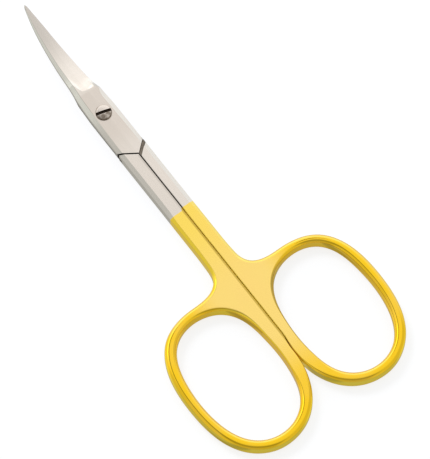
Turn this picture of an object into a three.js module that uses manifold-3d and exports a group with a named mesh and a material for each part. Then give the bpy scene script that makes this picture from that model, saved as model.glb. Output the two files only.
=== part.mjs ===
// Curved cuticle scissors, 90 mm long: two crossing halves held by one slotted pivot screw.
//
// Frame: millimetres. The scissors are closed and lie on a table. The origin is on the table,
// in the middle of their footprint. +Y runs from the bows to the blade tips, +X to the right
// with the tips pointing away, +Z up, out of the screw head. The parts are drawn with the
// pivot axis along Z and the plane where the halves meet at z = 0. The group at the end puts
// them in place.
//
// Each half is one forging: blade, joint plate, shank and finger bow. The upper half carries
// the right-hand bow, the lower half the left-hand one. The lower half is the upper half
// turned half a turn about Y, except that both blades bend upwards.

import * as THREE from 'three';
import { mergeVertices } from 'three/addons/utils/BufferGeometryUtils.js';
import Module from 'manifold-3d';

const wasm = await Module();
wasm.setup();

// ---------------------------------------------------------------- driving dimensions
const SHANK_Z = 1.45;          // half the thickness of the shanks and bows
const PIVOT_Y = 21.83;         // pivot axis from the middle of the footprint
const PIVOT_Z = SHANK_Z;       // meeting plane above the table
const EDGE_W = 0.48;           // width of the eased edge round the shanks and bows
const EDGE_H = 0.42;           // its height
const HALF_GAP = 0.13;         // each shank's inner edge from the centre line when closed
const PLATE_Z = 1.2;           // outer face of a joint plate above the meeting plane
const MATE = 0.02;             // each mating face from the meeting plane

const V_APEX_Y = -9.85;        // point of the V where the joint plate ends
const V_END_Y = -7.85;         // the V at the outer edges
const V_HALF_W = 2.6;          // half width of the joint at the V
const V_CLEAR = 0.1;           // clearance each side of the V line
const SHOULDER_W = 0.5;        // width of the sloped shoulder up to the shank

const BEND_START = 9.0;        // distance from the pivot axis where the blades start to rise
const BEND_R = 23.0;           // radius of the rise
const TIP_Y = 23.3;            // blade tips

const HOLE_R_UPPER = 0.90;     // clearance hole in the upper half
const HOLE_R_LOWER = 0.88;     // hole in the lower half
const ROUND_FACETS = 32;       // facets of the holes and the screw
const SPLINE_STEPS = 2;        // points on each span of the handle curves

// ---------------------------------------------------------------- curves and tables
// Straight-line reading of a table of [position, value] rows, held level past its ends.
const lerpTable = (table, position) => {
  if (position <= table[0][0]) return table[0][1];
  for (let i = 1; i < table.length; i++) {
    const [start, startValue] = table[i - 1];
    const [end, endValue] = table[i];
    if (position <= end) {
      return startValue + ((endValue - startValue) * (position - start)) / (end - start);
    }
  }
  return table[table.length - 1][1];
};

// Points on a uniform cubic B-spline. An open one also gets its end point.
const bspline = (controls, closed) => {
  const spans = closed ? controls.length : controls.length - 3;
  const pointAt = (span, u) => {
    const weights = [
      (1 - u) ** 3 / 6,
      (3 * u ** 3 - 6 * u * u + 4) / 6,
      (-3 * u ** 3 + 3 * u * u + 3 * u + 1) / 6,
      u ** 3 / 6,
    ];
    let x = 0;
    let y = 0;
    weights.forEach((weight, k) => {
      const control = controls[(span + k) % controls.length];
      x += weight * control[0];
      y += weight * control[1];
    });
    return [x, y];
  };
  const points = [];
  for (let span = 0; span < spans; span++) {
    for (let step = 0; step < SPLINE_STEPS; step++) {
      points.push(pointAt(span, step / SPLINE_STEPS));
    }
  }
  if (!closed) points.push(pointAt(spans - 1, 1));
  return points;
};

// y of the V line where the shank meets the other half's joint plate.
const vLine = (x) => V_APEX_Y + (Math.abs(x) * (V_END_Y - V_APEX_Y)) / V_HALF_W;

// ---------------------------------------------------------------- solids
const toSolid = (geometry) => {
  const bare = geometry.index ? geometry.toNonIndexed() : geometry.clone();
  for (const name of Object.keys(bare.attributes)) {
    if (name !== 'position') bare.deleteAttribute(name);
  }
  const merged = mergeVertices(bare, 1e-5);
  return new wasm.Manifold(new wasm.Mesh({
    numProp: 3,
    vertProperties: new Float32Array(merged.attributes.position.array),
    triVerts: new Uint32Array(merged.index.array),
  }));
};

// Back to a three.js geometry, each vertex first moved by the optional function.
const toGeometry = (solid, move) => {
  const { vertProperties, numProp, triVerts } = solid.getMesh();
  const count = vertProperties.length / numProp;
  const positions = new Float32Array(count * 3);
  const point = new THREE.Vector3();
  for (let i = 0; i < count; i++) {
    point.fromArray(vertProperties, i * numProp);
    if (move) move(point);
    point.toArray(positions, i * 3);
  }
  const geometry = new THREE.BufferGeometry();
  geometry.setAttribute('position', new THREE.BufferAttribute(positions, 3));
  geometry.setIndex(new THREE.BufferAttribute(new Uint32Array(triVerts), 1));
  geometry.computeVertexNormals();
  return geometry;
};

const toVectors = (points) => points.map(([x, y]) => new THREE.Vector2(x, y));

const extrude = (points, depth) => new THREE.ExtrudeGeometry(
  new THREE.Shape(toVectors(points)), { depth, bevelEnabled: false });

// An upright prism between two heights, from a plan polygon.
const prism = (points, bottom, top) => (
  toSolid(extrude(points, top - bottom).translate(0, 0, bottom)));

// ---------------------------------------------------------------- shank and bow
// Handle outline, [x, y]: control points of an open B-spline, from the shank's outer edge,
// round the bow, to the inner edge. Straight edges join its two ends to the V.
const OUTLINE = [
  [2.60, -28.36], [2.61, -30.02], [2.62, -31.67], [2.70, -33.38], [2.78, -35.13],
  [3.44, -36.72], [4.83, -37.74], [6.57, -38.14], [8.30, -38.21], [10.02, -38.17],
  [11.68, -38.33], [13.29, -38.67], [14.82, -39.24], [16.21, -40.08], [17.39, -41.21],
  [18.34, -42.57], [19.06, -44.07], [19.60, -45.65], [19.95, -47.30], [20.17, -48.95],
  [20.27, -50.62], [20.29, -52.30], [20.24, -53.97], [20.11, -55.65], [19.87, -57.30],
  [19.51, -58.94], [18.99, -60.52], [18.26, -62.04], [17.34, -63.43], [16.19, -64.66],
  [14.83, -65.67], [13.32, -66.43], [11.69, -66.88], [10.01, -67.00], [8.33, -66.84],
  [6.70, -66.40], [5.16, -65.68], [3.80, -64.69], [2.64, -63.48], [1.71, -62.09],
  [1.01, -60.59], [0.52, -59.00], [0.24, -57.37], [HALF_GAP, -55.69], [HALF_GAP, -53.96],
  [HALF_GAP, -52.20],
];
const OUTER_EDGE = [[2.585, -16], [2.59, -23]];            // straight part, going down
const INNER_EDGE = [[HALF_GAP, -40], [HALF_GAP, -25]];     // straight part, going up

// Finger opening, [x, y]: control points of a closed B-spline.
const OPENING = [
  [18.17, -55.28], [18.32, -52.51], [18.18, -49.72], [17.76, -46.93], [16.92, -44.24],
  [15.40, -41.97], [13.10, -40.52], [10.34, -40.07], [7.55, -40.59], [5.17, -42.05],
  [3.53, -44.29], [2.62, -46.95], [2.18, -49.74], [2.01, -52.54], [2.11, -55.33],
  [2.50, -58.13], [3.34, -60.81], [4.93, -63.11], [7.29, -64.65], [10.09, -65.17],
  [12.89, -64.62], [15.20, -63.05], [16.78, -60.72], [17.70, -58.05],
];
const V_OVERRUN = 1.2;         // the forging is drawn this far past the V, then cut back

const handleForging = () => {
  const outline = [
    [HALF_GAP, vLine(HALF_GAP) + V_OVERRUN],
    [V_HALF_W, vLine(V_HALF_W) + V_OVERRUN],
    ...OUTER_EDGE,
    ...bspline(OUTLINE, false),
    ...INNER_EDGE,
  ];
  const shape = new THREE.Shape(toVectors(outline.reverse()));
  shape.holes.push(new THREE.Path(toVectors(bspline(OPENING, true))));
  const flatHalf = SHANK_Z - EDGE_H;
  const geometry = new THREE.ExtrudeGeometry(shape, {
    depth: 2 * flatHalf,
    steps: 1,
    bevelEnabled: true,
    bevelSegments: 2,
    bevelSize: EDGE_W,
    bevelOffset: -EDGE_W,
    bevelThickness: EDGE_H,
  });
  return toSolid(geometry.translate(0, 0, -flatHalf));
};

// Cutter for everything past the V, where the other half's joint plate lies.
const pastV = () => prism([
  [-1, vLine(0) - V_CLEAR], [0, vLine(0) - V_CLEAR], [4, vLine(4) - V_CLEAR],
  [4, -4], [-1, -4],
], -3, 3);

// Cutter that leaves a sloped shoulder from the joint plate's outer face up to the shank.
const shoulderCutter = () => {
  const floor = PLATE_Z - 0.01;
  const ceiling = SHANK_Z + 0.3;
  const reach = 1.2;           // past the V, towards the blade
  const farEnd = 6;            // start of the cutter along the V, from its apex
  const length = 8;
  const wedge = extrude([
    [-reach, floor], [0, floor], [SHOULDER_W, SHANK_Z],
    [SHOULDER_W + 0.5, ceiling], [-reach, ceiling],
  ], length);

  // The wedge's x runs down the shank, square to the V, and its length back along the V.
  const alongV = new THREE.Vector3(V_HALF_W, V_END_Y - V_APEX_Y, 0).normalize();
  const downShank = new THREE.Vector3(alongV.y, -alongV.x, 0);
  const up = new THREE.Vector3(0, 0, 1);
  const placing = new THREE.Matrix4().makeBasis(downShank, up, alongV.clone().negate());
  placing.setPosition(new THREE.Vector3(0, V_APEX_Y, 0).addScaledVector(alongV, farEnd));
  return toSolid(wedge.applyMatrix4(placing));
};

const handle = () => handleForging().subtract(pastV()).subtract(shoulderCutter());

// ---------------------------------------------------------------- joint plate and blade
// Drawn flat, as height above the meeting plane: the bend is applied afterwards.
// Rows are [y, value] unless noted, y from the pivot axis.
const HALF_WIDTH = [
  [-11.0, 2.50], [-8.3, 2.50], [-7.9, 2.60], [-4.0, 2.61], [0.0, 2.60], [2.5, 2.50],
  [4.3, 2.38], [5.2, 2.26], [6.2, 2.12], [7.4, 2.00], [8.1, 1.94], [9.0, 1.87],
  [9.9, 1.81], [10.8, 1.75], [11.7, 1.69], [12.6, 1.61], [13.5, 1.54], [14.3, 1.46],
  [15.2, 1.38], [16.0, 1.30], [16.9, 1.21], [17.7, 1.13], [18.5, 1.04], [19.3, 0.93],
  [20.0, 0.82], [20.8, 0.69], [21.6, 0.54], [22.2, 0.42], [22.7, 0.31], [23.05, 0.22],
  [TIP_Y, 0.08],
];
const SPINE_HEIGHT = [
  [-11, PLATE_Z], [6.0, PLATE_Z], [8.0, 1.08], [12, 0.92], [16, 0.76], [20, 0.56],
  [22.4, 0.40], [TIP_Y, 0.30],
];
const CUTTING_EDGE_HEIGHT = [[-11, 0.26], [20, 0.24], [TIP_Y, 0.20]];
const BEVEL_WIDTH = [
  [-11, 0.50], [-7.9, 0.50], [0, 0.62], [4, 0.62], [8, 0.50], [16, 0.32], [20, 0.22],
  [22.4, 0.12], [TIP_Y, 0.03],
];
const BEVEL_HEIGHT = [[-11, 0.36], [6, 0.36], [16, 0.30], [20, 0.24], [TIP_Y, 0.12]];
// [x, y] of the line where the ground blade face meets the flat of the joint plate.
const GRIND_LINE = [
  [-1.7, 6.4], [-1.41, 6.05], [-1.0, 5.45], [-0.55, 5.02], [0.3, 4.86], [1.58, 4.67],
  [2.6, 4.45],
];
const RUN_OUT = 3.2;           // length of the concave run-out past that line
const HEEL = [4.2, 5.2];       // y over which the right-hand bevel gives way to the edge
const CUTTING_BEVEL = 0.02;    // width and height of the bevel left on the cutting edge
const MIN_SIDE = 0.12;         // least height of a side wall
const BEVEL_MID_W = 0.45;      // middle point of a bevel, as a share of its width
const BEVEL_MID_H = 0.30;      // and of its height
const TOP_POINTS = 7;          // points across the top of a section

// y of each cross-section, close together where the grind begins.
const STATIONS = [
  -10.6, -8.3, -7.9, -4, 0, 2.5, 4.0, 4.4, 4.7, 5.0, 5.4, 5.8, 6.2, 6.8, 7.4, 8.0, 8.6, 9.2,
];
for (let y = 9.9; y < 22.9; y += 0.72) STATIONS.push(y);
STATIONS.push(23.0, TIP_Y);

const topHeight = (x, y) => {
  const grindY = lerpTable(GRIND_LINE, x);
  if (y <= grindY) return PLATE_Z;
  const halfWidth = lerpTable(HALF_WIDTH, y);
  const spineX = -halfWidth + lerpTable(BEVEL_WIDTH, y);
  const spine = lerpTable(SPINE_HEIGHT, y);
  const edge = lerpTable(CUTTING_EDGE_HEIGHT, y);
  const share = Math.min(1, Math.max(0, (x - spineX) / (halfWidth - spineX)));
  const ground = spine + (edge - spine) * share;
  const left = Math.max(0, 1 - (y - grindY) / RUN_OUT);
  return Math.min(PLATE_Z, ground + (PLATE_Z - ground) * left * left);
};

// One closed cross-section: up the left side, over the top, down the right side and back
// along the mating face. Both sides are eased on the joint plate; from the heel on, the
// right-hand one is the cutting edge.
const bladeSection = (y) => {
  const halfWidth = lerpTable(HALF_WIDTH, y);
  const bevelW = lerpTable(BEVEL_WIDTH, y);
  const bevelH = lerpTable(BEVEL_HEIGHT, y);
  const heel = THREE.MathUtils.smoothstep(y, ...HEEL);
  const rightW = bevelW * (1 - heel) + CUTTING_BEVEL * heel;

  const top = [];
  for (let i = 0; i < TOP_POINTS; i++) {
    const topWidth = 2 * halfWidth - bevelW - rightW;
    const x = -halfWidth + bevelW + topWidth * (i / (TOP_POINTS - 1));
    top.push([x, topHeight(x, y)]);
  }
  const leftTop = top[0][1];
  const rightTop = top[TOP_POINTS - 1][1];
  const rightH = Math.min(bevelH, rightTop - MIN_SIDE) * (1 - heel) + CUTTING_BEVEL * heel;

  const section = [
    [-halfWidth, 0],
    [-halfWidth, Math.max(MIN_SIDE, leftTop - bevelH)],
    [-halfWidth + bevelW * BEVEL_MID_W, leftTop - bevelH * BEVEL_MID_H],
    ...top,
    [halfWidth - rightW * BEVEL_MID_W, rightTop - rightH * BEVEL_MID_H],
    [halfWidth, rightTop - rightH],
    [halfWidth, 0],
  ];
  for (let i = TOP_POINTS - 1; i > 0; i--) {
    section.push([-halfWidth + (2 * halfWidth * i) / TOP_POINTS, 0]);
  }
  return section.map(([x, z]) => [x, y, Math.max(z, MATE)]);
};

const blade = () => {
  const sections = STATIONS.map(bladeSection);
  const size = sections[0].length;
  const positions = sections.flat(2);
  const index = [];
  for (let row = 0; row + 1 < sections.length; row++) {
    for (let i = 0; i < size; i++) {
      const here = row * size + i;
      const next = row * size + ((i + 1) % size);
      index.push(here, next, here + size, next, next + size, here + size);
    }
  }
  // Each end is closed with a flat fan about a middle point.
  const cap = (row, facesBack) => {
    const section = sections[row];
    const centre = positions.length / 3;
    const middleZ = section.reduce((sum, point) => sum + point[2], 0) / size;
    positions.push(0, section[0][1], middleZ);
    for (let i = 0; i < size; i++) {
      const here = row * size + i;
      const next = row * size + ((i + 1) % size);
      index.push(centre, ...(facesBack ? [next, here] : [here, next]));
    }
  };
  cap(0, true);
  cap(sections.length - 1, false);

  const geometry = new THREE.BufferGeometry();
  geometry.setAttribute('position', new THREE.BufferAttribute(new Float32Array(positions), 3));
  geometry.setIndex(index);
  return toSolid(geometry);
};

// ---------------------------------------------------------------- one half
const holeCutter = (radius) => {
  const bottom = -1;
  const top = 3;
  const rod = new THREE.CylinderGeometry(radius, radius, top - bottom, ROUND_FACETS);
  rod.rotateX(Math.PI / 2);
  return toSolid(rod.translate(0, 0, (bottom + top) / 2));
};

const half = (holeRadius) => {
  // The joint plate stops at the V on the side where the other half's shank begins.
  const plate = blade().subtract(prism([
    [HALF_GAP, -12], [HALF_GAP, vLine(0) + V_CLEAR], [0, vLine(0) + V_CLEAR],
    [-4, vLine(4) + V_CLEAR], [-4, -12],
  ], -1, 3));
  return handle().add(plate).subtract(holeCutter(holeRadius));
};

// Both blades rise together on a surface of revolution about the pivot axis, so they stay
// in contact and clear of each other however far the scissors open.
const bendUp = (point) => {
  const past = Math.hypot(point.x, point.y) - BEND_START;
  if (point.y > 0 && past > 0) point.z += BEND_R - Math.sqrt(BEND_R * BEND_R - past * past);
};

const upperHalf = () => toGeometry(half(HOLE_R_UPPER), bendUp);

const lowerHalf = () => toGeometry(half(HOLE_R_LOWER), (point) => {
  point.x = -point.x;
  point.z = -point.z;
  bendUp(point);
});

// ---------------------------------------------------------------- pivot screw
// The head bears on the joint plate; the body ends just inside the lower plate's outer face.
const SCREW_R = 0.85;
const SCREW_CHAMFER = 0.12;
const SCREW_END_Z = -(PLATE_Z - 0.03);
const HEAD_R = 1.46;
const HEAD_Z0 = PLATE_Z + 0.02;  // underside of the head
const HEAD_Z1 = 1.70;            // crown of the head
const SLOT_W = 0.34;
const SLOT_D = 0.26;
const SLOT_TURN = -15;           // degrees from the X axis

// [radius, z], from the end of the body up to the crown.
const SCREW_PROFILE = [
  [0, SCREW_END_Z], [SCREW_R - SCREW_CHAMFER, SCREW_END_Z],
  [SCREW_R, SCREW_END_Z + SCREW_CHAMFER], [SCREW_R, HEAD_Z0],
  [HEAD_R - 0.04, HEAD_Z0], [HEAD_R, HEAD_Z0 + 0.05], [HEAD_R, HEAD_Z1 - 0.22],
  [HEAD_R - 0.07, HEAD_Z1 - 0.11], [HEAD_R - 0.24, HEAD_Z1 - 0.05],
  [HEAD_R * 0.5, HEAD_Z1 - 0.01], [0, HEAD_Z1],
];

const pivotScrew = () => {
  const body = new THREE.LatheGeometry(toVectors(SCREW_PROFILE), ROUND_FACETS);
  body.rotateX(Math.PI / 2);
  const cutterH = 1;
  const slot = new THREE.BoxGeometry(2 * HEAD_R + 1, SLOT_W, cutterH);
  slot.translate(0, 0, HEAD_Z1 - SLOT_D + cutterH / 2);
  slot.rotateZ(THREE.MathUtils.degToRad(SLOT_TURN));
  return toGeometry(toSolid(body).subtract(toSolid(slot)));
};

// ---------------------------------------------------------------- scene graph
const STEEL = { color: 0xd8d2c8, roughness: 0.28, metalness: 1.0 };
const GOLD = { color: 0xf2c84b, roughness: 0.24, metalness: 1.0 };

const part = (name, geometry, look) => {
  const mesh = new THREE.Mesh(geometry, new THREE.MeshStandardMaterial(look));
  mesh.name = name;
  return mesh;
};

const lower = new THREE.Group();
lower.add(part('lower_half', lowerHalf(), GOLD), part('pivot_screw', pivotScrew(), STEEL));

const upper = new THREE.Group();
upper.add(part('upper_half', upperHalf(), GOLD));

const scissors = new THREE.Group();
scissors.name = 'cuticle_scissors';
scissors.add(lower, upper);
scissors.position.set(0, PIVOT_Y, PIVOT_Z);

export default scissors;
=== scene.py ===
"""Scissors with polished steel blades and shanks, gold-plated bows and a slotted pivot screw.

The shapes are drawn in millimetres about the pivot, with the scissors closed: z = 0 is the
plane where the halves meet, +Y runs to the tips and +Z comes out of the screw head. PIVOT is
that point in the frame. Each half is drawn flat with its bow at +X. The lower half is then
turned over about Y, and both blades are raised on a surface of revolution about the pivot axis.
"""

import math
from collections import namedtuple
from types import SimpleNamespace

import bmesh
import bpy
import numpy as np
from mathutils import Matrix, Vector
from mathutils.geometry import tessellate_polygon


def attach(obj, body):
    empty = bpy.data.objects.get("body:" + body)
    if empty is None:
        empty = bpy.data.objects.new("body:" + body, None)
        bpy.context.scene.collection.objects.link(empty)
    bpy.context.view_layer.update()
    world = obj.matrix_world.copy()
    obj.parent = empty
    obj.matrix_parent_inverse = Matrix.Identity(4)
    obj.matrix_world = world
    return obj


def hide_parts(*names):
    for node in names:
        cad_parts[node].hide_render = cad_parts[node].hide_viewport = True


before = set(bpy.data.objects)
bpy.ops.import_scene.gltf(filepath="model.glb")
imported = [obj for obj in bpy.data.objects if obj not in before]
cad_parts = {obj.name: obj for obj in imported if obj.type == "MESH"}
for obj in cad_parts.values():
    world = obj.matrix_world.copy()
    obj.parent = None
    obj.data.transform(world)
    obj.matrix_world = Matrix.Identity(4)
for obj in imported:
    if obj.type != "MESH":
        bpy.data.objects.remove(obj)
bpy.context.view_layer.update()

# ------------------------------------------------------------------ sizes, mm
SHANK_Z = 1.45                  # half the thickness of a shank
PIVOT = (0.0, 21.83, SHANK_Z)
PLATE_Z = 1.2                   # top of the joint plate
MATE_Z = 0.02                   # mating face of a blade
BOW_GAP = 0.06                  # from the middle to the facing side of a bow
PLATING_TIGHT = 0.036           # how far the plating closes the gap between the shanks
CORNER_Y, CORNER_R = -6.3, 0.8  # square end of the shank before the V is cut

# The V across the joint: its apex lies PART_X off the middle, its ends at the sides.
PART_X = 0.31
V_APEX_Y, V_END_Y, V_HALF_W = -9.85, -7.85, 2.6
V_RISE = V_END_Y - V_APEX_Y
V_CLEAR = 0.2                   # handle held back from the V
PLATE_CLEAR = 0.24              # plate held forward of it
SHOULDER_W = 0.60

BEND_START, BEND_R = 9.0, 23.0  # distance from the pivot where the bend begins, its radius
TIP_Y = 23.3
SCREW_R, HEAD_R, HEAD_Z0, HEAD_Z1 = 0.85, 1.43, 1.22, 1.68
SLOT_W, SLOT_D = 0.55, 0.26
SLOT_TURN = math.radians(-16.5)

# What differs between the halves as drawn. inner: x of the shank's facing side; filed: how far
# hand filing has moved points of OPENING, by index, as (x, y).
Half = namedtuple("Half", "name body upper inner apex_x hole_r filed")
HALVES = (
    Half("upper_half_forging", "upper_half", True, 0.39, PART_X, 0.90,
         {3: (0.10, 0.06), 4: (0.22, 0.13), 5: (0.22, 0.26), 6: (0.10, 0.19), 7: (0, 0.05)}),
    Half("lower_half_forging", "lower_half", False, -0.25, -PART_X, 0.88,
         {7: (0, 0.05), 8: (-0.08, 0.11), 9: (-0.16, 0.18), 10: (-0.20, 0.11),
          11: (-0.09, 0.03)}),
)

# Spline control points (x, y) of the bow's outside, clockwise seen from above.
OUTLINE = np.array([
    [2.60, -28.36], [2.61, -30.02], [2.62, -31.67], [2.70, -33.38], [2.78, -35.13],
    [3.44, -36.72], [4.83, -37.74], [6.57, -38.14], [8.30, -38.21], [10.02, -38.17],
    [11.68, -38.33], [13.29, -38.67], [14.82, -39.24], [16.21, -40.08], [17.39, -41.21],
    [18.34, -42.57], [19.06, -44.07], [19.60, -45.65], [19.95, -47.30], [20.17, -48.95],
    [20.27, -50.62], [20.29, -52.30], [20.24, -53.97], [20.11, -55.65], [19.87, -57.30],
    [19.51, -58.94], [18.99, -60.52], [18.26, -62.04], [17.34, -63.43], [16.19, -64.66],
    [14.83, -65.67], [13.32, -66.43], [11.69, -66.88], [10.01, -67.00], [8.33, -66.84],
    [6.70, -66.40], [5.16, -65.68], [3.80, -64.69], [2.64, -63.48], [1.71, -62.09],
    [1.01, -60.59], [0.50, -59.00], [0.19, -57.37], [0.07, -55.69], [0.06, -53.96],
    [0.06, -52.20]])
# Closed spline control points (x, y) of the finger opening, anticlockwise.
OPENING = np.array([
    [18.17, -55.28], [18.32, -52.51], [18.18, -49.72], [17.76, -46.93], [16.92, -44.24],
    [15.40, -41.97], [13.10, -40.52], [10.34, -40.07], [7.55, -40.59], [5.17, -42.05],
    [3.53, -44.29], [2.62, -46.95], [2.18, -49.74], [2.01, -52.54], [2.11, -55.33],
    [2.50, -58.13], [3.34, -60.81], [4.93, -63.11], [7.29, -64.65], [10.09, -65.17],
    [12.89, -64.62], [15.20, -63.05], [16.78, -60.72], [17.70, -58.05]])


# ------------------------------------------------------------------ curves
def smooth(x, start, end):
    t = np.clip((np.asarray(x, float) - start) / (end - start), 0, 1)
    return t * t * (3 - 2 * t)


def lerp(a, b, t):
    return a * (1 - t) + b * t


def monotone(points):
    """A smooth curve through points that never overshoots them (Fritsch-Carlson)."""
    x, y = np.array(points, float).T
    gap = np.diff(x)
    chord = np.diff(y) / gap
    slope = np.zeros(len(x))
    for i in range(1, len(x) - 1):
        if chord[i - 1] * chord[i] > 0:
            w1 = 2 * gap[i] + gap[i - 1]
            w2 = gap[i] + 2 * gap[i - 1]
            slope[i] = (w1 + w2) / (w1 / chord[i - 1] + w2 / chord[i])
    slope[0], slope[-1] = chord[0], chord[-1]

    def curve(value):
        value = np.clip(np.asarray(value, float), x[0], x[-1])
        i = np.clip(np.searchsorted(x, value) - 1, 0, len(gap) - 1)
        t = (value - x[i]) / gap[i]
        return ((2 * t**3 - 3 * t**2 + 1) * y[i] + (t**3 - 2 * t**2 + t) * gap[i] * slope[i]
                + (-2 * t**3 + 3 * t**2) * y[i + 1] + (t**3 - t**2) * gap[i] * slope[i + 1])
    return curve


def bspline(control, closed, steps):
    n = len(control)
    points = []
    for i in range(n if closed else n - 3):
        for step in range(steps):
            u = step / steps
            weights = ((1 - u)**3 / 6, (3 * u**3 - 6 * u * u + 4) / 6,
                       (-3 * u**3 + 3 * u * u + 3 * u + 1) / 6, u**3 / 6)
            points.append(sum(weights[k] * control[(i + k) % n] for k in range(4)))
    if not closed:
        points.append((control[-3] + 4 * control[-2] + control[-1]) / 6)
    return np.array(points)


def eased_edge(width, depth, power, steps=10):
    """Distances in from the side and drops below the face, from the side to the face."""
    a = np.linspace(0, math.pi / 2, steps + 1)
    return width * (1 - np.cos(a)**(2 / power)), depth * (1 - np.sin(a)**(2 / power))


def v_line(x, apex_x):
    """The y of the V at x."""
    reach = V_HALF_W - apex_x if x > apex_x else V_HALF_W + apex_x
    return V_APEX_Y + abs(x - apex_x) * V_RISE / reach


def bend_height(x, y):
    past = np.hypot(x, y) - BEND_START
    past = np.where((y > 0) & (past > 0), past, 0)
    return BEND_R - np.sqrt(BEND_R**2 - past**2)


# ------------------------------------------------------------------ mesh helpers
def new_object(name, verts, faces):
    mesh = bpy.data.meshes.new(name)
    mesh.from_pydata([tuple(map(float, v)) for v in verts], [],
                     [tuple(map(int, f)) for f in faces])
    mesh.update()
    ob = bpy.data.objects.new(name, mesh)
    bpy.context.scene.collection.objects.link(ob)
    return ob


def solid(name, verts, faces):
    """A closed object with its normals outward."""
    ob = new_object(name, verts, faces)
    bm = bmesh.new()
    bm.from_mesh(ob.data)
    bmesh.ops.recalc_face_normals(bm, faces=bm.faces)
    if bm.calc_volume(signed=True) < 0:
        bmesh.ops.reverse_faces(bm, faces=bm.faces)
    bm.to_mesh(ob.data)
    bm.free()
    return ob


def cut(ob, tool, operation="DIFFERENCE"):
    """Apply a boolean to ob and remove the tool."""
    mod = ob.modifiers.new("b", "BOOLEAN")
    mod.operation, mod.object, mod.solver = operation, tool, "MANIFOLD"
    bpy.context.view_layer.update()
    depsgraph = bpy.context.evaluated_depsgraph_get()
    mesh = bpy.data.meshes.new_from_object(ob.evaluated_get(depsgraph))
    ob.modifiers.clear()
    old, ob.data = ob.data, mesh
    bpy.data.meshes.remove(old)
    tool_mesh = tool.data
    bpy.data.objects.remove(tool)
    bpy.data.meshes.remove(tool_mesh)


def band(a, b, n):
    """Quads between two rings of n vertices that start at a and b."""
    return [[a + i, a + (i + 1) % n, b + (i + 1) % n, b + i] for i in range(n)]


def span(ring_a, ring_b):
    """A solid tool between two matching rings."""
    n = len(ring_a)
    ends = [list(range(n))[::-1], list(range(n, 2 * n))]
    return solid("tool", ring_a + ring_b, ends + band(0, n, n))


def prism(points, z0, z1):
    return span([(x, y, z0) for x, y in points], [(x, y, z1) for x, y in points])


def lathe(profile, n, name="tool"):
    """Turned solid from (radius, z) points that start and end on the axis."""
    rings, verts, faces = [], [], []
    for r, z in profile:
        size = 1 if r < 1e-9 else n
        rings.append((len(verts), size))
        if size == 1:
            verts.append((0, 0, z))
            continue
        for i in range(n):
            angle = 2 * math.pi * i / n
            verts.append((r * math.cos(angle), r * math.sin(angle), z))
    for (a, size_a), (b, size_b) in zip(rings[:-1], rings[1:]):
        if size_a == size_b:
            faces += band(a, b, n)
        elif size_a == 1:
            faces += [[a, b + i, b + (i + 1) % n] for i in range(n)]
        else:
            faces += [[a + i, a + (i + 1) % n, b] for i in range(n)]
    return solid(name, verts, faces)


def finish_mesh(ob, sharp_degrees):
    """Clean the boolean's leftovers and set the shading."""
    mesh = ob.data
    bm = bmesh.new()
    bm.from_mesh(mesh)
    bmesh.ops.remove_doubles(bm, verts=bm.verts, dist=2e-7)
    bmesh.ops.dissolve_degenerate(bm, edges=bm.edges, dist=1e-7)
    bmesh.ops.join_triangles(bm, faces=bm.faces, angle_face_threshold=math.radians(12),
                             angle_shape_threshold=math.radians(50))
    bm.to_mesh(mesh)
    bm.free()
    for poly in mesh.polygons:
        poly.use_smooth = True
    mesh.set_sharp_from_angle(angle=math.radians(sharp_degrees))
    mod = ob.modifiers.new("normals", "WEIGHTED_NORMAL")
    mod.keep_sharp = True
    mod.weight = 60


def fit(ob, material, body):
    """Dress a piece and put it in place of its CAD body."""
    ob.data.materials.clear()
    ob.data.materials.append(material)
    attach(ob, body)
    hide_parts(body)


# ------------------------------------------------------------------ shank and bow
def ring_layers(points, width, depth, power):
    """Layers from the underside's flat, round the side, to the top's flat.

    The metal lies to the right of the closed line of points."""
    along = np.roll(points, -1, 0) - np.roll(points, 1, 0)
    along = along / np.linalg.norm(along, axis=1)[:, None]
    inward = np.c_[along[:, 1], -along[:, 0]]
    sections = [eased_edge(*edge) for edge in zip(width, depth, power)]
    insets, drops = np.array(sections).transpose(1, 2, 0)
    flat = width + 0.035        # a narrow flat beyond the eased edge
    face = np.full(len(points), SHANK_Z)
    layers = [(flat, -face)]
    layers += [(inset, -face + drop) for inset, drop in zip(insets[::-1], drops[::-1])]
    layers += [(inset, face - drop) for inset, drop in zip(insets, drops)]
    layers.append((flat, face))
    return [np.c_[points + inward * inset[:, None], z] for inset, z in layers]


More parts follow.
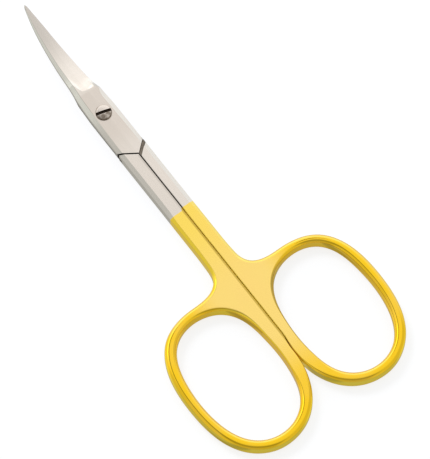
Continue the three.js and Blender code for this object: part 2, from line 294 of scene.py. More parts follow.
def outer_layers(half):
    """The outer contour, clockwise from the shank's front corner."""
    corner = []
    for centre_x, start, end in ((half.inner + CORNER_R, 180, 90), (V_HALF_W - CORNER_R, 90, 0)):
        for a in np.radians(np.linspace(start, end, 8)):
            corner.append((centre_x + CORNER_R * math.cos(a),
                           CORNER_Y - CORNER_R + CORNER_R * math.sin(a)))
    # the outside of the shank narrows slightly, then widens towards the bow
    down = [(V_HALF_W - 0.01 * min(1, max(0, (-8 - y) / 6)) + 0.018 * max(0, (-18 - y) / 12), y)
            for y in [*np.arange(-7.8, -11, -0.8), *np.arange(-12, -29, -1.0)]]
    bow = bspline(OUTLINE, closed=False, steps=8)
    up = []
    for y in np.arange(-53.4, -7.6, 0.8):
        shank_x = half.inner - PLATING_TIGHT * float(smooth(-y, 22.0, 24.0))
        up.append((BOW_GAP + (shank_x - BOW_GAP) * float(smooth(y, -54.0, -51.0)), y))
    outer = np.array(corner + down + list(bow[1:]) + up)

    # the section changes with distance along the contour as the shank becomes a bow
    y = outer[:, 1]
    steps = np.linalg.norm(np.diff(np.r_[outer, outer[:1]], axis=0), axis=1)
    travel = np.r_[0, np.cumsum(steps)[:-1]]
    first_bow = len(corner) + len(down)
    bow_start = travel[first_bow]
    bow_end = travel[first_bow + len(bow) - 2]
    on_bow = (smooth(travel, bow_start + 4.0, bow_start + 13.0)
              * (1 - smooth(travel, bow_end - 12.0, bow_end - 1.0)))
    facing = travel > bow_end - 14
    # the lower half's facing edge is softer where it is plated
    soft = np.zeros(len(y)) if half.upper else smooth(-y, 22, 23)
    gilt = smooth(-y, 21.5, 24.5)
    # facing side of the shank, outside of the shank, then the bow
    width = lerp(np.where(facing, 0.12 + 0.20 * soft, 0.73 - 0.19 * gilt), 0.93, on_bow)
    depth = lerp(np.where(facing, 0.12 + 0.10 * soft, 0.42 - 0.04 * gilt), 1.12, on_bow)
    power = lerp(np.where(facing, 1.9, 1.0 + 0.28 * gilt), 2.1, on_bow)
    return ring_layers(outer, width, depth, power)


def opening_layers(half):
    opening = OPENING.copy()
    for i, shift in half.filed.items():
        opening[i] += shift
    hole = bspline(opening, closed=True, steps=13)
    # the edge is crisper on the inner side of the bow
    angle = np.degrees(np.arctan2(hole[:, 1] + 52.5, hole[:, 0] - 10.6)) % 360
    web = smooth(angle, 108, 166) * (1 - smooth(angle, 205, 245))
    return ring_layers(hole, width=lerp(0.84, 0.24, web), depth=lerp(1.08, 0.24, web),
                       power=lerp(2.1, 1.5, web))


def shoulder_tool(apex_x):
    """Cuts the sloped shoulder along the +X arm of the V."""
    along = np.array([V_HALF_W - apex_x, V_RISE])
    along = along / np.linalg.norm(along)
    across = np.array([along[1], -along[0]])
    # (distance back from the V, z)
    profile = [(-1.2, PLATE_Z - 0.01), (0.0, PLATE_Z - 0.01),
               (SHOULDER_W * 0.45, PLATE_Z + 0.07), (SHOULDER_W * 0.8, PLATE_Z + 0.16),
               (SHOULDER_W, SHANK_Z), (SHOULDER_W + 0.5, SHANK_Z + 0.5), (-1.2, SHANK_Z + 0.5)]
    rings = []
    for travel in (-2.0, 6.0):
        start = np.array([apex_x, V_APEX_Y]) + along * travel
        rings.append([(*(start + across * back), z) for back, z in profile])
    return span(*rings)


def handle(half):
    outer, hole = outer_layers(half), opening_layers(half)
    verts, faces = [], []
    for layers in (outer, hole):
        n = len(layers[0])
        first = len(verts)
        for k, layer in enumerate(layers):
            verts.extend(layer.tolist())
            if k:
                faces += band(first + (k - 1) * n, first + k * n, n)
    n_outer, n_hole = len(outer[0]), len(hole[0])
    for k in (0, len(outer) - 1):
        loops = [[Vector((*point[:2], 0)) for point in layers[k]] for layers in (outer, hole)]
        outer_first = k * n_outer
        hole_first = len(outer) * n_outer + k * n_hole
        for tri in tessellate_polygon(loops):
            faces.append([outer_first + i if i < n_outer else hole_first + (i - n_outer)
                          for i in tri])
    ob = solid("handle", verts, faces)
    apex_x, apex_y = half.apex_x, V_APEX_Y - V_CLEAR
    cut(ob, prism([(-1, apex_y), (apex_x, apex_y), (4, v_line(4, apex_x) - V_CLEAR),
                   (4, -4), (-1, -4)], -3, 3))
    cut(ob, shoulder_tool(apex_x))
    return ob


# ------------------------------------------------------------------ joint plate and blade
# Each curve is a list of (y, size); the spine is at -X and the cutting edge at +X.
half_width = monotone([
    (-11.0, 2.50), (-8.3, 2.50), (-7.9, 2.60), (-4.0, 2.61), (0.0, 2.60), (2.5, 2.50),
    (4.3, 2.38), (5.2, 2.26), (6.2, 2.12), (7.4, 2.00), (8.1, 1.94), (9.0, 1.87),
    (9.9, 1.81), (10.8, 1.75), (11.7, 1.69), (12.6, 1.61), (13.5, 1.54), (14.3, 1.46),
    (15.2, 1.38), (16.0, 1.30), (16.9, 1.21), (17.7, 1.13), (18.5, 1.04), (19.3, 0.93),
    (20.0, 0.82), (20.8, 0.69), (21.6, 0.54), (22.2, 0.42), (22.7, 0.31), (23.05, 0.22),
    (TIP_Y, 0.08)])
spine_thickness = monotone([
    (-11, 1.2), (4.4, 1.2), (6.0, 1.12), (8.0, 1.04), (12, 0.92), (16, 0.76), (20, 0.56),
    (22.4, 0.40), (TIP_Y, 0.30)])
edge_thickness = monotone([(-11, 0.26), (20, 0.24), (TIP_Y, 0.20)])
bevel_width = monotone([
    (-11, 0.70), (-7.9, 0.70), (-4, 0.76), (0, 0.84), (3, 0.82), (6, 0.71), (11, 0.55),
    (16, 0.41), (20, 0.27), (22.4, 0.13), (TIP_Y, 0.03)])
bevel_depth = monotone([(-11, 0.42), (6, 0.42), (16, 0.32), (20, 0.24), (TIP_Y, 0.12)])
# y where the grind starts, against the fraction across from spine (0) to cutting edge (1)
grind_start = monotone([(0, 7.50), (0.07, 6.90), (0.15, 6.15), (0.29, 5.36), (0.58, 5.18),
                        (0.85, 5.06), (0.94, 4.70), (1.0, 4.40)])
GRIND_Y = 4.9           # the row that follows the start of the grind
GRIND_REACH = 3.6       # length over which the grind runs out
BEVEL_STEPS, TOP_POINTS, BACK_POINTS = 7, 26, 12
ROWS_Y = [
    *np.arange(-10.6, -8.4, 0.4), -8.3, -8.1, -7.9, *np.arange(-7.0, 3.2, 0.75),
    *np.arange(3.4, 4.85, 0.12), GRIND_Y, *np.arange(4.98, 8.2, 0.11),
    *np.arange(8.3, 22.2, 0.22), *np.arange(22.3, 23.25, 0.09), TIP_Y]


def blade_station(row_y, across):
    """Sizes at a fraction across a row; rows near the grind bow to follow its start."""
    pull = math.exp(-((row_y - GRIND_Y) / 3.2)**2)
    y = row_y + (float(grind_start(across)) - GRIND_Y) * pull
    heel = float(smooth(y, 2.6, 5.6))       # 0 on the joint plate, 1 on the blade
    bevel = float(bevel_width(y))
    return SimpleNamespace(y=y, heel=heel, half=float(half_width(y)), bevel=bevel,
                           depth=float(bevel_depth(y)),
                           edge_bevel=bevel * (1 - heel) + 0.02 * heel)


def top_point(row_y, across):
    at = blade_station(row_y, across)
    spine, edge = float(spine_thickness(at.y)), float(edge_thickness(at.y))
    ground = spine + (edge - spine) * across
    start = float(grind_start(across))
    z = PLATE_Z
    if at.y > start + 1e-9:
        left = max(0.0, 1 - (at.y - start) / GRIND_REACH)
        z = min(PLATE_Z, ground + (PLATE_Z - ground) * left**3)
    return (-at.half + at.bevel + (2 * at.half - at.bevel - at.edge_bevel) * across, at.y, z)


def blade_row(row_y):
    """One closed section: spine bevel, top, cutting-edge bevel, then the mating face."""
    top = [top_point(row_y, across) for across in np.linspace(0, 1, TOP_POINTS)]

    at = blade_station(row_y, 0.0)
    z = top[0][2]
    insets, drops = eased_edge(at.bevel, min(at.depth, z - 0.10), 1.0, BEVEL_STEPS)
    row = [(-at.half, at.y, MATE_Z)]
    row += [(-at.half + a, at.y, z - b) for a, b in zip(insets[:-1], drops[:-1])]
    row += top

    at = blade_station(row_y, 1.0)
    z = top[-1][2]
    fall = min(at.depth, z - 0.10) * (1 - at.heel) + min(0.02, z * 0.2) * at.heel
    insets, drops = eased_edge(at.edge_bevel, fall, 1.0, BEVEL_STEPS)
    row += [(at.half - a, at.y, z - b) for a, b in list(zip(insets[:-1], drops[:-1]))[::-1]]
    row.append((at.half, at.y, MATE_Z))

    for across in np.linspace(1, 0, BACK_POINTS)[1:-1]:
        at = blade_station(row_y, float(across))
        row.append((-at.half + 2 * at.half * across, at.y, MATE_Z))
    return row


def blade():
    rows = [blade_row(y) for y in ROWS_Y]
    n = len(rows[0])
    verts = [v for row in rows for v in row]
    faces = []
    for k in range(len(rows) - 1):
        faces += band(k * n, (k + 1) * n, n)
    for k in (0, len(rows) - 1):
        centre = len(verts)
        verts.append(tuple(np.mean(rows[k], axis=0)))
        faces += [[centre, k * n + i, k * n + (i + 1) % n] for i in range(n)]
    ob = solid("blade", verts, faces)
    # mark the line where the spine's bevel meets the top
    crease = ob.data.attributes.new("crease", "FLOAT", "POINT")
    for k in range(len(rows)):
        crease.data[k * n + BEVEL_STEPS + 1].value = 1.0
    return ob


def build_half(half):
    inner, apex_x = half.inner, half.apex_x
    plate = blade()
    plate_y = V_APEX_Y + PLATE_CLEAR
    cut(plate, prism([(inner, -12), (inner, plate_y + (inner - apex_x) * 0.8),
                      (apex_x, plate_y), (-4, v_line(-4, apex_x) + PLATE_CLEAR),
                      (-4, -12)], -1, 3))
    ob = handle(half)
    cut(ob, plate, "UNION")
    hole_r, mouth_r = half.hole_r, half.hole_r + 0.05
    cut(ob, lathe([(0, -1), (hole_r, -1), (hole_r, PLATE_Z - 0.05), (mouth_r, PLATE_Z),
                   (mouth_r, 3), (0, 3)], 96))
    mesh = ob.data
    co = np.zeros(len(mesh.vertices) * 3)
    mesh.vertices.foreach_get("co", co)
    co = co.reshape(-1, 3)
    if not half.upper:
        co[:, 0] *= -1
        co[:, 2] *= -1
    co[:, 2] += bend_height(co[:, 0], co[:, 1])
    mesh.vertices.foreach_set("co", ((co + PIVOT) / 1000).ravel())
    mesh.update()
    ob.name = half.name
    mesh.name = half.name
    finish_mesh(ob, sharp_degrees=21)
    return ob


# ------------------------------------------------------------------ pivot screw
def build_screw():
    profile = [
        (0, -1.17), (0.30, -1.17), (0.55, -1.168), (SCREW_R - 0.10, -1.16),
        (SCREW_R - 0.03, -1.12), (SCREW_R, -1.05), (SCREW_R, HEAD_Z0),
        (HEAD_R - 0.06, HEAD_Z0), (HEAD_R - 0.015, HEAD_Z0 + 0.02), (HEAD_R, HEAD_Z0 + 0.06),
        (HEAD_R, HEAD_Z1 - 0.26)]
    round_r = 0.09
    for a in np.linspace(10, 80, 6):
        profile.append((HEAD_R - round_r * (1 - math.cos(math.radians(a))),
                        HEAD_Z1 - 0.26 + round_r * math.sin(math.radians(a))))
    crown_r = profile[-1][0]
    for f in np.linspace(0.97, 0, 14):
        profile.append((crown_r * f, HEAD_Z1 - 0.14 * f**4))
    screw = lathe(profile, 160, "pivot_screw_turned")
    ca, sa = math.cos(SLOT_TURN), math.sin(SLOT_TURN)
    side = SLOT_W / 2
    corners = [(-3, -side), (3, -side), (3, side), (-3, side)]
    cut(screw, prism([(x * ca - y * sa, x * sa + y * ca) for x, y in corners],
                     HEAD_Z1 - SLOT_D - 0.06, HEAD_Z1 + 1))
    screw.data.transform(Matrix.Scale(0.001, 4) @ Matrix.Translation(PIVOT))
    finish_mesh(screw, sharp_degrees=28)
    return screw


# ------------------------------------------------------------------ node helpers
class Field:
    """A shader output. Arithmetic and comparisons on it add Math nodes."""

    def __init__(self, socket):
        self.socket = socket

    def math(self, operation, *others):
        inputs = dict(enumerate((self, *others)))
        return add(self.socket.id_data, "ShaderNodeMath", inputs, operation=operation)

    def __add__(self, other):
        return self.math("ADD", other)

    def __sub__(self, other):
        return self.math("SUBTRACT", other)

    def __mul__(self, other):
        return self.math("MULTIPLY", other)

    def __truediv__(self, other):
        return self.math("DIVIDE", other)

    def __pow__(self, other):
        return self.math("POWER", other)

    def __gt__(self, other):
        return self.math("GREATER_THAN", other)

    def __lt__(self, other):
        return self.math("LESS_THAN", other)

    def __abs__(self):
        return self.math("ABSOLUTE")

    def maximum(self, other):
        return self.math("MAXIMUM", other)

    def fade(self, start, end, low=0.0, high=1.0):
        """Smooth step: low where the field is at start, high where it is at end."""
        if start > end:
            start, end, low, high = end, start, high, low
        return add(self.socket.id_data, "ShaderNodeMapRange",
                   {"Value": self, "From Min": start, "From Max": end,
                    "To Min": low, "To Max": high}, interpolation_type="SMOOTHSTEP")

    def window(self, rise, fall):
        """One between two fades, each (0 at, 1 at)."""
        return self.fade(*rise) * self.fade(*fall)

    def mix(self, zero, one):
        """A number that goes from zero to one as this field goes from 0 to 1."""
        return add(self.socket.id_data, "ShaderNodeMix", {0: self, 2: zero, 3: one})

    def coat(self, colour, amount, blend="MIX"):
        """This colour covered by another."""
        return mix_colour(self, colour, amount, blend)

    def tint(self, colour, amount):
        """This colour multiplied by another, where amount is 1."""
        return self.coat(self.coat(colour, 1.0, "MULTIPLY"), amount)


def node(tree, kind, inputs=None, **props):
    new = tree.nodes.new(kind)
    for key, value in props.items():
        setattr(new, key, value)
    plug(new, inputs or {})
    return new


def plug(target, inputs):
    for key, value in inputs.items():
        socket = target.inputs[key]
        if isinstance(value, Field):
            socket.id_data.links.new(value.socket, socket)
        else:
            socket.default_value = value


def add(tree, kind, inputs=None, output=0, **props):
    return Field(node(tree, kind, inputs, **props).outputs[output])


def mix_colour(base, over, amount, blend="MIX"):
    tree = next(v for v in (amount, base, over) if isinstance(v, Field)).socket.id_data
    return add(tree, "ShaderNodeMix", {0: amount, 6: base, 7: over}, output=2,
               data_type="RGBA", blend_type=blend)


def noise(vector, scale, detail=2.0, rough=0.5):
    return add(vector.socket.id_data, "ShaderNodeTexNoise",
               {"Vector": vector, "Scale": scale, "Detail": detail, "Roughness": rough})


def stretched(vector, scale, shift):
    return add(vector.socket.id_data, "ShaderNodeMapping",
               {0: vector, "Scale": scale, "Location": shift})


def split(vector):
    parts = node(vector.socket.id_data, "ShaderNodeSeparateXYZ", {0: vector})
    return [Field(socket) for socket in parts.outputs]


def surface(tree):
    """The raw position, x, y, z in millimetres about the pivot, and the object's normal."""
    position = add(tree, "ShaderNodeTexCoord", output="Object")
    x, y, z = [part * 1000.0 - PIVOT[i] for i, part in enumerate(split(position))]
    normal = add(tree, "ShaderNodeNewGeometry", output="Normal")
    nx, ny, nz = split(add(tree, "ShaderNodeVectorTransform", {0: normal}, vector_type="NORMAL",
                           convert_from="WORLD", convert_to="OBJECT"))
    return SimpleNamespace(position=position, x=x, y=y, z=z, nx=nx, ny=ny, nz=nz)


def new_material(name):
    material = bpy.data.materials.new(name)
    material.use_nodes = True
    tree = material.node_tree
    return material, tree, tree.nodes["Principled BSDF"]


# ------------------------------------------------------------------ metal of the halves
# In the materials a number that multiplies a mask is the strength of that coat.
STEEL = (0.762, 0.697, 0.636, 1)
STEEL_DULL = (0.633, 0.575, 0.517, 1)
STEEL_CLOUD = (0.83, 0.73, 0.63, 1)
# painted shade for surfaces that face -X, painted sheen for those that face +X
STEEL_LEFT_SHADE = (0.650, 0.622, 0.560, 1)       # surfaces that face -X
STEEL_RIGHT_SHEEN = (0.765, 0.735, 0.690, 1)      # surfaces that face +X
# painted shade for the sides of the lower half about the joint
STEEL_UNDER_SHADE = (0.13, 0.125, 0.105, 1)
# painted sheen for the bevels that face -X
STEEL_BEVEL_SHEEN = (0.80, 0.79, 0.71, 1)
# painted shade for the line at the spine's crease
STEEL_CREASE_SHADE = (0.30, 0.29, 0.25, 1)
# painted sheen for the flats, on the web and on the shank
GOLD_WEB_SHEEN = (0.985, 0.718, 0.205, 1)
GOLD_SHANK_SHEEN = (0.985, 0.720, 0.132, 1)
GOLD_RICH = (0.965, 0.612, 0.022, 1)
# painted shade for upright sides inside the bows, painted sheen for those outside
GOLD_OLIVE_SHADE = (0.95, 0.640, 0.070, 1)
GOLD_SIDE_SHEEN = (0.955, 0.770, 0.100, 1)
GOLD_CLOUD = (0.99, 0.66, 0.22, 1)
GOLD_BETWEEN_SHEEN = (0.98, 0.82, 0.22, 1)
# painted sheen for the gold bevels that face -X and +X
GOLD_LEFT_BEVEL_SHEEN = (0.96, 0.74, 0.072, 1)
GOLD_RIGHT_BEVEL_SHEEN = (0.94, 0.77, 0.23, 1)
# painted shade for the edges that face +X round the openings
GOLD_RIGHT_FACING_SHADE = (0.52, 0.36, 0.07, 1)
# painted shade for the shoulder, streaked, and for lines along its edges
SHOULDER_SHADE_DARK, SHOULDER_SHADE_PALE = (0.10, 0.083, 0.066, 1), (0.22, 0.187, 0.152, 1)
SHOULDER_EDGE_SHADE = (0.07, 0.056, 0.042, 1)
# painted shade for the facing sides of the shanks, and a painted sheen for their plated part
GAP_SHADE_FRONT, GAP_SHADE_BACK = (0.08, 0.065, 0.05, 1), (0.30, 0.26, 0.21, 1)
GAP_GOLD_SHEEN = (1.0, 0.80, 0.16, 1)
# painted shade for the eased edge beside the parting line
LIP_SHADE_STEEL, LIP_SHADE_GOLD = (0.36, 0.32, 0.28, 1), (0.53, 0.36, 0.06, 1)
# painted shade for the V
V_SHADE = (0.045, 0.036, 0.028, 1)
SPECULAR_STEEL, SPECULAR_GOLD = (0.85, 0.84, 0.80, 1), (0.97, 0.82, 0.50, 1)
PLATING_Y = (-22.94, -22.46)                # front of the plating on the -X and +X shanks


def plating_mask(at):
    """One behind a crisp, slightly wavering line across the shanks."""
    line = at.x.fade(start=-0.15, end=0.15).mix(*PLATING_Y)
    waver = (noise(at.position, scale=800) - 0.5) * 0.10
    return (at.y + waver - line).fade(start=0.05, end=-0.05)


def gold_colour(at):
    """Painted sheen: paler on the flats of the shank and web, deep yellow on the rounded bows.
    """
    colour = mix_colour(GOLD_WEB_SHEEN, GOLD_SHANK_SHEEN, at.y.fade(start=-40.0, end=-25.0))
    colour = mix_colour(GOLD_RICH, colour, at.flat)
    colour = colour.coat(GOLD_CLOUD, at.cloud.fade(start=0.42, end=0.72, high=0.16))
    # squared distance from the bow's centre, over an ellipse of half-axes 8.1 and 12.6 mm
    ex = (at.wide - 10.2) / 8.1
    ey = (at.y + 52.6) / 12.6
    from_bow = ex * ex + ey * ey
    # painted shade and sheen on upright sides: an olive shade tint inside the bow's ellipse, a
    # yellow sheen outside it
    sides = mix_colour(GOLD_OLIVE_SHADE, GOLD_SIDE_SHEEN, from_bow.fade(start=1.12, end=1.26))
    colour = colour.coat(sides, at.up.fade(start=0.72, end=0.30))
    # painted sheen: the facing edges between the bows are pale
    colour = colour.coat(GOLD_BETWEEN_SHEEN, at.wide.fade(start=1.7, end=0.9)
                         * at.y.fade(start=-50.0, end=-52.0) * at.up.fade(start=0.75, end=0.45))
    # painted sheen on the bevels that face -X and +X
    colour = colour.coat(GOLD_LEFT_BEVEL_SHEEN, at.bevel * at.left * (at.web * 0.8))
    colour = colour.coat(GOLD_RIGHT_BEVEL_SHEEN,
                         at.bevel * at.nx.fade(start=-0.1, end=0.1) * (at.web * 0.8))
    # painted shade: the edges that face +X round the openings are darker
    right_facing_shade = (from_bow.fade(start=1.35, end=1.2) * at.nx.fade(start=0.10, end=0.35)
            * at.up.fade(start=0.985, end=0.93))
    return colour.coat(GOLD_RIGHT_FACING_SHADE, right_facing_shade * at.web * 0.85)


def polishing_grain(at):
    """Lines along the shanks, and across the blades from the grind."""
    along = stretched(at.position, scale=(9000, 260, 3500), shift=(3, 2, 0))
    across = stretched(at.position, scale=(420, 7500, 2500), shift=(7, 5, 0))
    return at.y.fade(start=4.4, end=6.2).mix(noise(along, scale=1.0, detail=6, rough=0.62),
                                             noise(across, scale=1.0, detail=6, rough=0.62))


def steel_colour(at, tree):
    colour = mix_colour(STEEL, STEEL_DULL, at.grain.fade(start=0.35, end=0.75, high=0.13))
    colour = colour.coat(STEEL_CLOUD, at.cloud.fade(start=0.45, end=0.75, high=0.10))
    # painted shade on surfaces that face -X, painted sheen on those that face +X
    colour = colour.coat(STEEL_LEFT_SHADE, at.sideways.fade(start=0.30, end=0.38)
                         * at.nx.fade(start=0.1, end=-0.1) * 0.9)
    colour = colour.coat(STEEL_RIGHT_SHEEN, at.nx.fade(start=0.30, end=0.38) * 0.9)
    # painted shade: the flat of the joint plate is darkened
    colour = colour.tint((0.925, 0.91, 0.90, 1), at.y.window(rise=(-9.0, -3.0), fall=(5.2, 4.6))
                         * at.up.fade(start=0.97, end=0.99))
    # painted shade on the sides of the lower half about the joint
    under = (at.z.fade(start=0.0, end=-0.15) * at.up.fade(start=0.75, end=0.45)
             * at.y.window(rise=(-9.3, -8.6), fall=(8.5, 6.0)))
    colour = colour.coat(STEEL_UNDER_SHADE, under * 0.75)
    # painted light and shade: brighter at +X and on the blades, darker on upright sides
    colour = colour.tint((1.07, 1.07, 1.08, 1), at.x.fade(start=-0.1, end=0.5, high=0.5))
    colour = colour.tint((1.06, 1.07, 1.08, 1), at.y.fade(start=5.2, end=6.2))
    colour = colour.tint((0.85, 0.85, 0.85, 1), at.up.fade(start=0.45, end=0.20))
    # painted sheen on the bevels that face -X, from the joint to the blades
    colour = colour.coat(STEEL_BEVEL_SHEEN,
                         at.bevel * at.left * (at.y.fade(start=-4.0, end=2.0) * 0.9))
    # a thin line of painted shade where the spine's bevel meets the ground face
    crease = add(tree, "ShaderNodeAttribute", output="Fac", attribute_name="crease")
    return colour.coat(STEEL_CREASE_SHADE, crease**1.5 * (at.y.fade(start=-2.0, end=3.0) * 0.75))


def shoulder_coat(at):
    """Mask, streaks and colour of the shoulder: darkened with painted shade, streaked down the
    slope as ground, with lines of painted shade along its edges.
    """
    mask = (at.from_v.window(rise=(-0.72, -0.68), fall=(0.03, -0.01))
            * ((at.from_part * at.z > 0.0) * at.high.fade(start=1.449, end=1.44)))
    streak = noise(stretched(at.position, scale=(1500, 1500, 9000), shift=(0, 0, 4)),
                   scale=1.0, detail=5, rough=0.7)
    colour = mix_colour(SHOULDER_SHADE_DARK, SHOULDER_SHADE_PALE, streak.fade(start=0.3, end=0.7))
    # lines of painted shade along the shoulder's edges
    lines = at.from_v.fade(start=-0.19, end=-0.13).maximum(
        at.from_v.fade(start=-0.54, end=-0.59))
    return mask, streak, colour.coat(SHOULDER_EDGE_SHADE, lines * 0.8)


def shade_gaps(colour, at, gold):
    """Paint shade into the V and onto the facing sides of the shanks, with a painted sheen where
    those sides are plated; returns the colour and the mask.
    """
    wall = at.up.fade(start=0.6, end=0.4)
    in_v = (at.from_v > -0.20) * (at.from_v < 0.27)
    in_gap = ((at.off_part < 0.12)
              * (abs(at.nx).fade(start=0.35, end=0.6) * at.y.fade(start=-52.6, end=-51.2)))
    # painted shade on the walls of the V and deep in it
    v_shade = (in_v * wall).maximum(in_v * at.high.fade(start=1.0, end=0.6))
    # painted shade on the facing sides of the shanks, darkest near the V, and a painted sheen on
    # them where they are plated
    gap_colour = mix_colour(GAP_SHADE_FRONT, GAP_SHADE_BACK, at.y.fade(start=-9.0, end=-12.5))
    gap_colour = gap_colour.coat(GAP_GOLD_SHEEN, gold)
    # painted shade in a soft band on the eased edge beside the parting line
    lip = (at.x.window(rise=(-0.20, 0.02), fall=(0.22, 0.20))
           * (at.high.fade(start=1.15, end=1.25) * at.y.fade(start=-54.5, end=-53.0)))
    lip = lip * at.y.fade(start=-9.9, end=-10.3)
    colour = colour.coat(mix_colour(LIP_SHADE_STEEL, LIP_SHADE_GOLD, gold),
                         lip * gold.mix(zero=0.35, one=0.85))
    colour = colour.coat(gap_colour, in_gap * 0.92)
    return colour.coat(V_SHADE, v_shade * 0.95), v_shade.maximum(in_gap)


def metal_material():
    """Polished steel, with bright gold plating behind a line across the shanks."""
    material, tree, bsdf = new_material("polished_steel_and_gold_plating")
    at = surface(tree)
    at.up = abs(at.nz)              # 1 on faces square to Z
    at.wide = abs(at.x)
    at.high = abs(at.z)
    at.sideways = abs(at.nx)
    at.bevel = at.sideways.window(rise=(0.30, 0.38), fall=(0.82, 0.70))
    at.left = at.nx.fade(start=0.1, end=-0.1)
    at.cloud = noise(at.position, scale=170, detail=3)
    at.grain = polishing_grain(at)
    at.web = at.wide.fade(start=11.5, end=4.5) * at.y.fade(start=-62.0, end=-50.0)
    # painted sheen in pale gold: the flats of the web, and surfaces turned towards +X and +Y
    turned = at.nx * 0.62 + at.ny * 0.78
    at.flat = (at.up.fade(start=0.90, end=0.992) * at.web).maximum(
        turned.fade(start=0.05, end=0.5) * 0.75)
    # distance from the V, positive towards the tips; 0.79 squares it to the slope
    at.from_part = at.x - PART_X
    at.off_part = abs(at.from_part)
    slope = (at.from_part > 0.0).mix(V_RISE / (V_HALF_W + PART_X), V_RISE / (V_HALF_W - PART_X))
    at.from_v = (at.y - V_APEX_Y - at.off_part * slope) * 0.79

    gold = plating_mask(at)
    colour = mix_colour(steel_colour(at, tree), gold_colour(at), gold)
    shoulder, streak, shoulder_colour = shoulder_coat(at)
    colour = colour.coat(shoulder_colour, shoulder * 0.97)
    colour, dark = shade_gaps(colour, at, gold)

    fleck = noise(at.position, scale=900, detail=4, rough=0.6)
    steel_rough = at.grain.fade(start=0.3, end=0.8, low=0.17, high=0.27)
    gold_rough = at.flat.mix(fleck.fade(start=0.3, end=0.7, low=0.085, high=0.13),
                             at.grain.fade(start=0.3, end=0.8, low=0.16, high=0.22))
    rough = dark.maximum(shoulder).mix(gold.mix(steel_rough, gold_rough), one=0.50)
    bump = add(tree, "ShaderNodeBump", {
        "Distance": 0.000003, "Strength": gold.mix(zero=0.32, one=0.07),
        "Height": at.grain + shoulder * streak * 6.0})
    plug(bsdf, {"Base Color": colour, "Metallic": 1.0, "Roughness": rough, "Normal": bump,
                "Specular Tint": mix_colour(SPECULAR_STEEL, SPECULAR_GOLD, gold)})
    return material


# ------------------------------------------------------------------ metal of the screw
SCREW_STEEL, SCREW_BROWN = (0.790, 0.715, 0.655, 1), (0.20, 0.160, 0.122, 1)
SCREW_STAIN = (0.13, 0.095, 0.068, 1)
# painted shade for the rim of the head
SCREW_RIM_SHADE = (0.22, 0.172, 0.132, 1)
# painted shade for the slot
SLOT_SHADE = (0.045, 0.027, 0.017, 1)
STAIN_U, STAIN_V = -0.35, -0.78     # centre of the stain, along and across the slot
RING_PITCH = 0.085                  # of the turning rings


def screw_material():
    """Turned steel: rings on the head, brown tarnish blots, and painted shade on one side of the
    slot, round the rim and in the slot.
    """
    material, tree, bsdf = new_material("turned_steel_tarnished")
    at = surface(tree)
    x, y, z = at.x, at.y, at.z
    radius = (x * x + y * y).math("SQRT")
    rings = (radius * (2 * math.pi / RING_PITCH)).math("SINE")
    blot = noise(at.position, scale=1500, detail=5, rough=0.65).fade(start=0.40, end=0.66)
    # u runs along the slot and v across it
    v = x * -math.sin(SLOT_TURN) + y * math.cos(SLOT_TURN)
    u = x * math.cos(SLOT_TURN) + y * math.sin(SLOT_TURN)
    # tarnish blots with painted shade on one side of the slot, and a stain near the rim
    tarnish_and_shade = v.fade(start=0.15, end=-0.30, low=0.10) * (blot * 0.60 + 0.32)
    stain_u = u - STAIN_U
    stain_v = v - STAIN_V
    from_stain = (stain_u * stain_u + stain_v * stain_v).math("SQRT")
    stain = (from_stain + blot * 0.25).fade(start=0.62, end=0.30)
    # painted shade round the rim, strongest on one side
    rim = (radius.fade(start=HEAD_R - 0.24, end=HEAD_R - 0.05, high=0.88)
           * (v + u * 0.55).fade(start=1.35, end=0.6, low=0.35))
    slot_floor = HEAD_Z1 - SLOT_D
    # painted shade in the slot
    slot = ((abs(v) < SLOT_W / 2 + 0.012)
            * abs(at.nz).fade(start=0.6, end=0.4).maximum(
                z.fade(start=slot_floor + 0.02, end=slot_floor)))
    slot = slot * (z > 0.9)
    colour = mix_colour(SCREW_STEEL, SCREW_BROWN, tarnish_and_shade)
    colour = colour.coat(SCREW_STAIN, stain * 0.80)
    colour = colour.coat(SCREW_RIM_SHADE, rim)
    colour = colour.coat(SLOT_SHADE, slot * 0.97)
    bump = add(tree, "ShaderNodeBump", {
        "Distance": 0.000006, "Strength": 0.35, "Height": rings * 0.25 + blot})
    rough = slot.mix(blot.fade(start=0.0, end=1.0, low=0.20, high=0.42), one=0.75)
    plug(bsdf, {"Base Color": colour, "Metallic": 1.0, "Roughness": rough, "Normal": bump})
    return material


# ------------------------------------------------------------------ the pieces
metal = metal_material()
forgings = [build_half(half) for half in HALVES]
for forging, half in zip(forgings, HALVES):
    fit(forging, metal, half.body)
screw = build_screw()
fit(screw, screw_material(), "pivot_screw")

# ------------------------------------------------------------------ camera
VIEW_TURN, VIEW_TILT = 0.6414254, 0.3700183     # radians, about Z and off the vertical
VIEW_DISTANCE = 600.0
AIM = (19.33628, -21.32212, 0)                  # from the pivot, in view axes
SENSOR, LENS = 36, 273.711373


def from_view(vector):
    """View axes (right, away from the viewer, up off the table) to the frame's axes."""
    x, y, z = vector
    ca, sa = math.cos(VIEW_TURN), math.sin(VIEW_TURN)
    return Vector((x * ca + y * sa, -x * sa + y * ca, z))


def add_camera():
    data = bpy.data.cameras.new("camera")
    camera = bpy.data.objects.new("camera", data)
    bpy.context.scene.collection.objects.link(camera)
    right = from_view((1, 0, 0))
    up = from_view((0, math.cos(VIEW_TILT), math.sin(VIEW_TILT)))
    back = from_view((0, -math.sin(VIEW_TILT), math.cos(VIEW_TILT)))
    place = from_view(AIM) + VIEW_DISTANCE * back + Vector(PIVOT)
    matrix = Matrix.Identity(4)
    for i in range(3):
        matrix[i][:] = right[i], up[i], back[i], place[i] / 1000
    camera.matrix_world = matrix
    data.sensor_width = SENSOR
    data.lens = LENS
    data.clip_start, data.clip_end = 0.01, 20
    bpy.context.scene.camera = camera


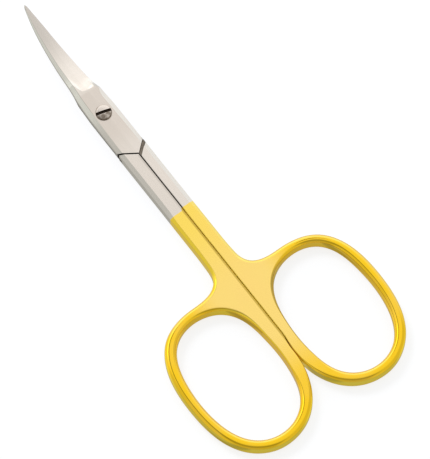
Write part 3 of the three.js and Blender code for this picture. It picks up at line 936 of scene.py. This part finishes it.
# ------------------------------------------------------------------ studio
def studio_light(direction):
    """Colour seen by a reflection that leaves along direction: a big soft top light that
    brightens away from the viewer, a light at the left, a slit between them, a dark front."""
    dx, dy, up = split(direction)
    ca, sa = math.cos(VIEW_TURN), math.sin(VIEW_TURN)
    right = dx * ca - dy * sa
    away = dx * sa + dy * ca
    level = away.fade(start=-0.60, end=0.36, low=0.74, high=0.995)
    boost = (away.fade(start=0.40, end=0.62, high=0.13)
             + away.fade(start=0.70, end=0.84, high=0.19)
             * away.fade(start=0.98, end=0.86, low=0.10))
    level = level + boost * (right.fade(start=0.46, end=0.36)
                             * right.fade(start=-0.44, end=-0.26))
    # the left: a broad light at the back, with a bright strip
    left_back = right.fade(start=-0.38, end=-0.56) * away.fade(start=0.02, end=0.25)
    level = left_back.mix(level, up.fade(start=0.10, end=0.55, low=0.92, high=1.14))
    leftward = right * -1.0 / up.maximum(0.05)
    strip = leftward.window(rise=(0.78, 0.95), fall=(2.3, 1.7)) * away.fade(start=0.18, end=0.30)
    level = (strip * 0.85).mix(level, one=1.95)
    # dimmer at the right and at the front left
    dim_right = right.fade(start=0.35, end=0.65) * away.fade(start=0.62, end=0.35)
    level = dim_right.mix(level, one=0.74)
    left_front = right.fade(start=-0.30, end=-0.52) * away.fade(start=0.08, end=-0.10)
    level = left_front.mix(level, one=0.74)
    slit = (leftward.window(rise=(0.18, 0.28), fall=(0.62, 0.48))
            * (away.fade(start=0.58, end=0.46) * up.fade(start=0.1, end=0.3)))
    level = (slit * 0.72).mix(level, one=0.18)
    # towards the viewer: dark overhead, a little lighter lower down
    ahead = (right.window(rise=(-0.62, -0.40), fall=(0.60, 0.38))
             * away.fade(start=-0.22, end=-0.40))
    level = ahead.mix(level, up.fade(start=0.62, end=0.52).mix(zero=0.40, one=0.57))
    # the table: dull under the object, bright far away, uneven at the left
    flatness = (right * right + away * away).math("SQRT")
    table = flatness.fade(start=0.40, end=0.95, low=0.56, high=0.84)
    table = away.fade(start=0.0, end=-0.35).mix(table, one=0.56)
    table = table + (right.fade(start=-0.15, end=-0.45, high=0.12)
                     * away.fade(start=-0.10, end=0.06))
    table = table - (right.fade(start=-0.10, end=-0.26, high=0.17)
                     * (away.fade(start=0.02, end=-0.10) * right.fade(start=-0.62, end=-0.45)))
    level = up.fade(start=0.03, end=-0.12).mix(level, table)
    warm_grey = (1.0, 1.0, 0.985)
    return add(direction.socket.id_data, "ShaderNodeCombineColor",
               {i: level * tint for i, tint in enumerate(warm_grey)})


def floor_material():
    """White to the eye, the studio to reflections, and clear from below."""
    material, tree, bsdf = new_material("floor_white")
    tree.nodes.remove(bsdf)
    diffuse = add(tree, "ShaderNodeBsdfDiffuse", {"Color": (0.200, 0.206, 0.222, 1)})
    glow = add(tree, "ShaderNodeEmission", {"Strength": 0.80})
    white = add(tree, "ShaderNodeAddShader", {0: diffuse, 1: glow})
    geometry = node(tree, "ShaderNodeNewGeometry")
    direction = add(tree, "ShaderNodeVectorMath",
                    {0: Field(geometry.outputs["Incoming"]), "Scale": -1.0}, operation="SCALE")
    reflected = add(tree, "ShaderNodeEmission", {"Color": studio_light(direction)})
    glossy = add(tree, "ShaderNodeLightPath", output="Is Glossy Ray")
    front = add(tree, "ShaderNodeMixShader", {0: glossy, 1: white, 2: reflected})
    clear = add(tree, "ShaderNodeBsdfTransparent")
    backfacing = Field(geometry.outputs["Backfacing"])
    shader = add(tree, "ShaderNodeMixShader", {0: backfacing, 1: front, 2: clear})
    plug(tree.nodes["Material Output"], {"Surface": shader})
    return material


def add_floor():
    half = 1.5      # metres
    floor = new_object("floor", [(-half, -half, 0), (half, -half, 0), (half, half, 0),
                                 (-half, half, 0)], [(0, 1, 2, 3)])
    floor.location.z = -0.00001
    floor.data.materials.append(floor_material())


def add_world():
    world = bpy.data.worlds.new("studio")
    bpy.context.scene.world = world
    world.use_nodes = True
    tree = world.node_tree
    direction = add(tree, "ShaderNodeTexCoord", output="Generated")
    plug(tree.nodes["Background"], {"Color": studio_light(direction)})


def add_key_light():
    """A soft disk from the back left, unseen in reflections."""
    light = bpy.data.lights.new("key", "AREA")
    light.shape, light.size, light.energy = "DISK", 0.30, 3.2
    ob = bpy.data.objects.new("key", light)
    ob.visible_glossy = False
    bpy.context.scene.collection.objects.link(ob)
    toward = from_view((-0.42, 0.45, 0.79)).normalized()
    ob.location = toward * 0.9
    ob.rotation_euler = toward.to_track_quat("Z", "Y").to_euler()


add_camera()
add_floor()
add_world()
add_key_light()
bpy.context.scene.view_settings.view_transform = "Standard"
